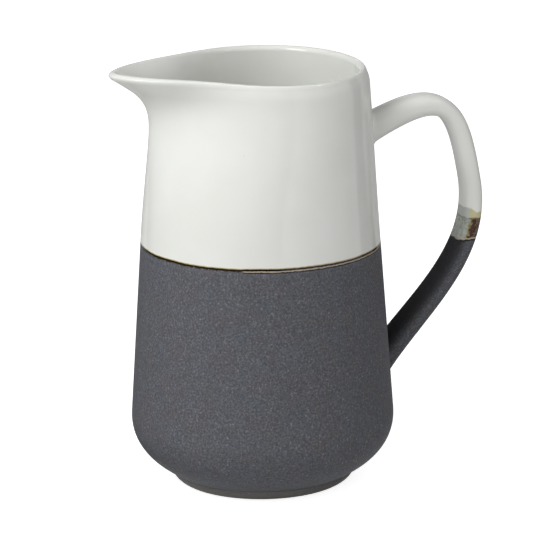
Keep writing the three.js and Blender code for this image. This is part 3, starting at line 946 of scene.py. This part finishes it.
def band_recipe(add, own, outward, depth):
    """Rust outwards, ochre beside it and grey-green on the grip side, below an olive thread of dots. The
    rust's reach is how far outwards a point faces, plus two noises."""
    drawn_out = add("Mapping", {"Vector": own, "Scale": (1.0, 1.0, STREAK_STRETCH)})
    streaks = add("TexNoise", [drawn_out, per_metre(STREAK_SIZE), *BLOTCHY])
    blots = add("TexNoise", [own, per_metre(BLOT_SIZE), *BLOTCHY])
    fringe = add("TexNoise", [own, per_metre(FRINGE_SIZE), *GRITTY])
    reach = add("Math", [blots, RUST_WANDER, outward], operation="MULTIPLY_ADD")
    reach = add("Math", [fringe, RUST_WANDER, reach], operation="MULTIPLY_ADD")
    is_ochre = add("MapRange", [reach, *OCHRE_SPAN], **EASED)
    is_rust = add("MapRange", [reach, *RUST_SPAN], **EASED)
    is_mottled = add("MapRange", [reach, *MOTTLED_SPAN], **EASED)
    mottled = add("ValToRGB", [fringe], MOTTLED_STOPS)
    dark = add("ValToRGB", [fringe], DARK_STOPS)
    rust = add("Mix", [is_mottled, dark, mottled], data_type="RGBA")
    speckle = add("Math", [streaks, 1 - FRINGE_SHARE], operation="MULTIPLY")
    speckle = add("Math", [fringe, FRINGE_SHARE, speckle], operation="MULTIPLY_ADD")
    thin = add("ValToRGB", [speckle], THIN_STOPS)
    ochre = add("Mix", [is_ochre, thin, linear("#8d8350")], data_type="RGBA")
    band = add("Mix", [is_rust, ochre, rust], data_type="RGBA")
    upper = add("Mix", [is_ochre, linear("#bcbfb9"), linear("#c9c297")], data_type="RGBA")
    start = BAND_TOP - RUST_START
    is_below = add("MapRange", [depth, *(start + step for step in BELOW_SPAN)], **EASED)
    over = add("Mix", [is_below, upper, band], data_type="RGBA")
    thread_share = add("MapRange", [depth, *(start + step for step in STRAND_SPAN)], **EASED)
    thread = add("ValToRGB", [thread_share], THREAD_STOPS)
    dotted = add("MapRange", [fringe, *DOT_SPAN, *DOT_SHARES], **EASED)
    dots = add("Math", [thread.outputs["Alpha"], dotted], operation="MULTIPLY")
    return add("Mix", [dots, over, thread], data_type="RGBA")


print("The rust starts", round(BAND_TOP - RUST_START, 1), "mm below the band's top")

# %% [markdown]
# From the top down the strap wears white glaze, the band, a pale edge with a dark one under it, and the slip.
# All its coats share this finish, so the band may wander over their borders as the line does. The grip side
# faces the body and hardly gets the wiped iron, and the band's top is 2 mm higher there. The slip on the grip
# side is darkened with painted shade, which stands for the shadow that the body casts on it.

# %% Finishes of the strap
PALE_EDGE = 102.7
RAGGED_SIZE = 3.0
RAGGED = 1.6
GRIP_RISE = 2.0
# Painted shade: how far the slip is darkened on the grip side, where the body shadows the strap.
GRIP_PAINTED_SHADE = 0.85
GRIP_SPAN = (-5.0, 2.0)  # millimetres outwards from the strap's middle, as the next two
PAINTED_SHADE_SPAN = (-4.5, 0.5)
EDGE_FADE_SPAN = (-5.5, -3.5)
EDGE_FADE_SHARES = (0.4, 1.0)
BAND_SPAN = (-0.5, 0.5)  # millimetres below the band's top, as the next one
GLOSS_SPAN = (-0.5, 0.6)
BAND_ROUGHNESS = 0.25
EDGE_SPAN = (-1.0, 2.0)  # millimetres below the pale edge, as the next one
STRAP_SLIP_SPAN = (0.3, 0.6)
EDGE_STOPS = [(0.12, "#b8ab9800"), (0.28, "#b8ab98ff"), (0.38, "#a89c86ff"), (0.45, "#1a120bff"),
              (0.6, "#0d0805ff"), (0.8, "#45464a00")]


def strap_finish(name, shine):
    """White glaze, band, pale edge and slip by the depth under the band's top, which a noise makes ragged."""
    material, add = start_material(name)
    place = add("TexCoord").outputs["Object"]
    own_mm = add("Attribute", attribute_name="strap_place").outputs["Vector"]
    own = add("VectorMath", [own_mm, MM], operation="SCALE")
    outward = add("SeparateXYZ", [own_mm]).outputs["X"]
    level = add("SeparateXYZ", [place]).outputs["Z"]
    white, white_height = white_recipe(add, place)
    slip, slip_height = charcoal_recipe(add, place)
    # Painted shade: the slip darkens towards the grip side, which lies in the body's shadow.
    painted_shade = add("MapRange", [outward, *PAINTED_SHADE_SPAN, GRIP_PAINTED_SHADE, 0.0], **EASED)
    slip = add("Mix", [painted_shade, slip, linear("#28282a")], data_type="RGBA")
    ragged = add("TexNoise", [own, per_metre(RAGGED_SIZE), *CLOUDY])
    ragged = add("Math", [ragged, RAGGED, -RAGGED / 2], operation="MULTIPLY_ADD")
    depth = add("Math", [level, -1 / MM, BAND_TOP], operation="MULTIPLY_ADD")
    depth = add("Math", [depth, ragged], operation="ADD")
    band = band_recipe(add, own, outward, depth)
    grip = add("MapRange", [outward, *GRIP_SPAN, GRIP_RISE, 0.0], **EASED)
    grip_depth = add("Math", [depth, grip], operation="ADD")
    is_band = add("MapRange", [grip_depth, *BAND_SPAN], **EASED)
    colour = add("Mix", [is_band, white, band], data_type="RGBA")
    end = BAND_TOP - PALE_EDGE
    is_slip = add("MapRange", [depth, *(end + step for step in STRAP_SLIP_SPAN)], **EASED)
    colour = add("Mix", [is_slip, colour, slip], data_type="RGBA")
    edge_share = add("MapRange", [depth, *(end + step for step in EDGE_SPAN)])
    edge = add("ValToRGB", [edge_share], EDGE_STOPS)
    faded = add("MapRange", [outward, *EDGE_FADE_SPAN, *EDGE_FADE_SHARES], **EASED)
    edge_alpha = add("Math", [edge.outputs["Alpha"], faded], operation="MULTIPLY")
    colour = add("Mix", [edge_alpha, colour, edge], data_type="RGBA")
    height = add("Mix", [is_slip, white_height, slip_height])
    gloss = add("MapRange", [depth, *GLOSS_SPAN, WHITE_GLOSS, BAND_ROUGHNESS], **EASED)
    roughness = add("Mix", [is_slip, gloss, CHARCOAL_ROUGHNESS])
    finish_coat(add, colour, height, roughness, shine, GLAZE_IOR)
    return material


white_on_strap = strap_finish("white_glaze_on_strap", GLAZE_SHINE)
slip_on_strap = strap_finish("charcoal_slip_on_strap", SLIP_SHINE)
for piece in (top_slip, strap_white):
    piece.data.materials.append(white_on_strap)
strap_oxide.data.materials.append(strap_finish("iron_oxide_on_strap", OXIDE_SHINE))
for piece in (strap_charcoal, foot_slip):
    piece.data.materials.append(slip_on_strap)
print("The strap's finish has", len(white_on_strap.node_tree.nodes), "nodes")

# %% [markdown]
# A product picture has a backdrop that is plain white to the eye, yet it mustn't wash the jug out with light.
# So floor and air are bright only to rays from the camera, off a mirror and through glass. Every other ray
# finds plain paper, which still shows the jug's soft shadow, and a dim air.

# %% Floor and world
FLOOR_SIZE = 6
FLOOR_GLOW = 0.86
AIR_LIGHT = 0.12
WHITE = (1, 1, 1, 1)
BLACK = (0, 0, 0, 1)


def bright_rays(add):
    """1 for a ray from the camera, off a mirror or through glass, and else 0: the largest of three."""
    rays = add("LightPath").outputs
    seen = add("Math", [rays["Is Camera Ray"], rays["Is Glossy Ray"]], operation="MAXIMUM")
    return add("Math", [seen, rays["Is Transmission Ray"]], operation="MAXIMUM")


def stage_sheet(name, points, faces):
    """A plain mesh that is part of the studio and not of the jug."""
    mesh = bpy.data.meshes.new(name)
    mesh.from_pydata(points, [], faces)
    sheet = bpy.data.objects.new(name, mesh)
    bpy.context.scene.collection.objects.link(sheet)
    return sheet


half = FLOOR_SIZE / 2
floor_corners = [(-half, -half, 0), (half, -half, 0), (half, half, 0), (-half, half, 0)]
floor = stage_sheet("studio_floor", floor_corners, [(0, 1, 2, 3)])
floor_material, add = start_material("floor_paper")
paper = add("BsdfDiffuse", [linear("#d6d6d6")])
glow = add("Emission", [WHITE, FLOOR_GLOW])
dark = add("Emission", [BLACK, 0.0])
lift = add("MixShader", [bright_rays(add), dark, glow])
add("OutputMaterial", [add("AddShader", [paper, lift])])
floor.data.materials.append(floor_material)

world = bpy.data.worlds.new("studio_air")
world.use_nodes = True
world.node_tree.nodes.clear()
bpy.context.scene.world = world
add = partial(add_node, world.node_tree)
air = add("Background", [WHITE, AIR_LIGHT])
backdrop = add("Background", [WHITE, 1.0])
add("OutputWorld", [add("MixShader", [bright_rays(add), air, backdrop])])
print("Floor", FLOOR_SIZE, "m wide, air at", AIR_LIGHT)

# %% [markdown]
# The camera stands where the photographer's did: in front of the jug, a little to the spout's side and above
# the rim, far off with a long lens, so that the upright edges hardly converge. Its angles, lens and shift
# were fitted to the outlines of rim, line and foot.

# %% Camera
CAMERA_AZIMUTH = math.radians(-16.26)
CAMERA_ELEVATION = math.radians(15.185)
CAMERA_DISTANCE = 1.4393
CAMERA_ROLL = math.radians(-0.729)
CAMERA_TARGET = Vector((AXIS_X * MM, 0, 0.094))
SENSOR_WIDTH = 36
LENS = 216.98
SHIFT_X = 0.0169
SHIFT_Y = 0.0029


def direction(azimuth, elevation):
    """Unit vector from the jug: azimuth in radians from the front, towards the handle, and elevation."""
    flat = math.cos(elevation)
    return Vector((math.sin(azimuth) * flat, -math.cos(azimuth) * flat, math.sin(elevation)))


camera_data = bpy.data.cameras.new("photo_camera")
camera_data.sensor_width = SENSOR_WIDTH
camera_data.lens = LENS
camera_data.shift_x = SHIFT_X
camera_data.shift_y = SHIFT_Y
camera = bpy.data.objects.new("photo_camera", camera_data)
bpy.context.scene.collection.objects.link(camera)
back = direction(CAMERA_AZIMUTH, CAMERA_ELEVATION)
camera.location = CAMERA_TARGET + back * CAMERA_DISTANCE
camera.rotation_mode = "QUATERNION"
camera.rotation_quaternion = (-back).to_track_quat("-Z", "Y") @ Quaternion((0, 0, 1), CAMERA_ROLL)
bpy.context.scene.camera = camera
print("Camera at", [round(v, 3) for v in camera.location])

# %% [markdown]
# Soft light comes from large lamps: the key high on the left, weak ones from the far left, front and right to
# open the shadows. They light the jug and aren't mirrored in it, because what the glaze mirrors is set on its
# own in the next step. One small lamp on the right is mirrored, and gives the sparks on lip and handle.

# %% Lamps
LAMP_DISTANCE = 1.6
LAMP_AIM = Vector((0, 0, 0.1))
BIG_BOX = (1.0, 0.8)
SMALL_BOX = (0.2, 0.2)
COOL = (0.985, 0.99, 1.0)
WARM = (1.0, 1.0, 0.985)
PLAIN = (1.0, 1.0, 1.0)
# Name, azimuth from the front and elevation in degrees, watts, size and colour.
LAMPS = [("key_left", -64, 48, 11.6, BIG_BOX, COOL), ("far_left", -100, 38, 6.0, BIG_BOX, WARM),
         ("front_left", -45, 15, 6.2, BIG_BOX, WARM), ("front_right", 12, 20, 2.4, BIG_BOX, WARM),
         ("high_right", 80, 60, 4.0, BIG_BOX, WARM), ("small_right", 50, 45, 1.6, SMALL_BOX, PLAIN)]


def softbox(name, azimuth, elevation, power, size, tint):
    """Area lamp aimed at the jug's middle."""
    lamp = bpy.data.lights.new(name, "AREA")
    lamp.shape = "RECTANGLE"
    lamp.size, lamp.size_y = size
    lamp.energy = power
    lamp.color = tint
    holder = bpy.data.objects.new(name, lamp)
    bpy.context.scene.collection.objects.link(holder)
    away = direction(math.radians(azimuth), math.radians(elevation))
    holder.location = LAMP_AIM + away * LAMP_DISTANCE
    holder.rotation_mode = "QUATERNION"
    holder.rotation_quaternion = (-away).to_track_quat("-Z", "Y")
    return holder


for name, azimuth, elevation, power, size, tint in LAMPS:
    softbox(name, azimuth, elevation, power, size, tint).visible_glossy = size == SMALL_BOX
print(len(LAMPS), "lamps with", round(sum(lamp[3] for lamp in LAMPS), 1), "watts")

# %% [markdown]
# A glossy pot is drawn by what it mirrors. In a studio those are pale walls with dark flags between them, a
# dim ceiling and the bright card over the key. They stand round the jug as sheets that only mirror rays see.
# A wall also covers the floor before it, or the bright paper would shine up the belly.

# %% What the glaze mirrors
MIRRORED_COLUMNS = 25
WALL_DISTANCE = 0.9
WALL_HEIGHT = 0.5
FLOOR_START = 0.075
FLOOR_LIFT = 0.002
KEY_CARD_DISTANCE = 1.6
KEY_CARD_LOW = 0.75
KEY_CARD_HIGH = 2.2
DOME_RADIUS = 2.8
DOME_START = 24
DOME_END = 89
DOME_LIGHT = 0.12
DOME_RINGS = 12
DOME_COLUMNS = 48
# Name, first and last azimuth in degrees from the camera's, and brightness.
WALLS = [("camera_side", -112, 18, 0.02), ("wall_right", 18, 107, 0.8), ("flag_right", 107, 126, 0.2),
         ("gap_right", 126, 137, 0.68), ("back_wall", 137, 226, 0.42), ("flag_back_left", 226, 236, 0.02),
         ("side_left", 236, 248, 0.1)]
KEY_CARD = ("key_card", -66, -36, 6.0)
WALL_OUTLINE = [(FLOOR_START, FLOOR_LIFT), (WALL_DISTANCE, FLOOR_LIFT), (WALL_DISTANCE, WALL_HEIGHT)]
KEY_CARD_OUTLINE = [(KEY_CARD_DISTANCE, KEY_CARD_LOW), (KEY_CARD_DISTANCE, KEY_CARD_HIGH)]


def reflected_only(name, points, faces, strength):
    """A stage sheet with an even light of its own that only mirror rays see."""
    sheet = stage_sheet(name, points.tolist(), faces)
    for ray in ("camera", "diffuse", "shadow", "transmission", "volume_scatter"):
        setattr(sheet, "visible_" + ray, False)
    material, add = start_material(name)
    add("OutputMaterial", [add("Emission", [(strength, strength, strength, 1), 1.0])])
    sheet.data.materials.append(material)


def screen(name, start, end, strength, outline):
    """Outline of radii and heights carried round an arc, between two azimuths from the camera's."""
    turn = np.radians(np.linspace(start, end, MIRRORED_COLUMNS)) + CAMERA_AZIMUTH
    around = np.stack([np.sin(turn), -np.cos(turn), np.zeros(MIRRORED_COLUMNS)], 1)
    arcs = [radius * around + [0, 0, height] for radius, height in outline]
    corner = [row * MIRRORED_COLUMNS + i for row in range(len(arcs) - 1) for i in range(MIRRORED_COLUMNS - 1)]
    faces = [(c, c + 1, c + MIRRORED_COLUMNS + 1, c + MIRRORED_COLUMNS) for c in corner]
    reflected_only(name, np.concatenate(arcs), faces, strength)


def ceiling(name, strength):
    """Dome over the studio: a sphere from an elevation nearly up to the zenith."""
    elevations = np.radians(np.linspace(DOME_START, DOME_END, DOME_RINGS))[:, None]
    turn = np.linspace(0, 2 * math.pi, DOME_COLUMNS, endpoint=False)
    flat = np.cos(elevations)
    rings = np.stack(np.broadcast_arrays(flat * np.sin(turn), -flat * np.cos(turn), np.sin(elevations)), -1)
    faces = grid_faces(DOME_RINGS, DOME_COLUMNS, False)
    reflected_only(name, DOME_RADIUS * rings.reshape(-1, 3), faces, strength)


for name, start, end, strength in WALLS:
    screen(name, start, end, strength, WALL_OUTLINE)
ceiling("dark_ceiling", DOME_LIGHT)
screen(*KEY_CARD, KEY_CARD_OUTLINE)
print(len(WALLS), "walls, a ceiling and a card are mirrored")

# %% [markdown]
# Last come the picture's own settings.

# %% View
bpy.context.scene.view_settings.view_transform = "Standard"
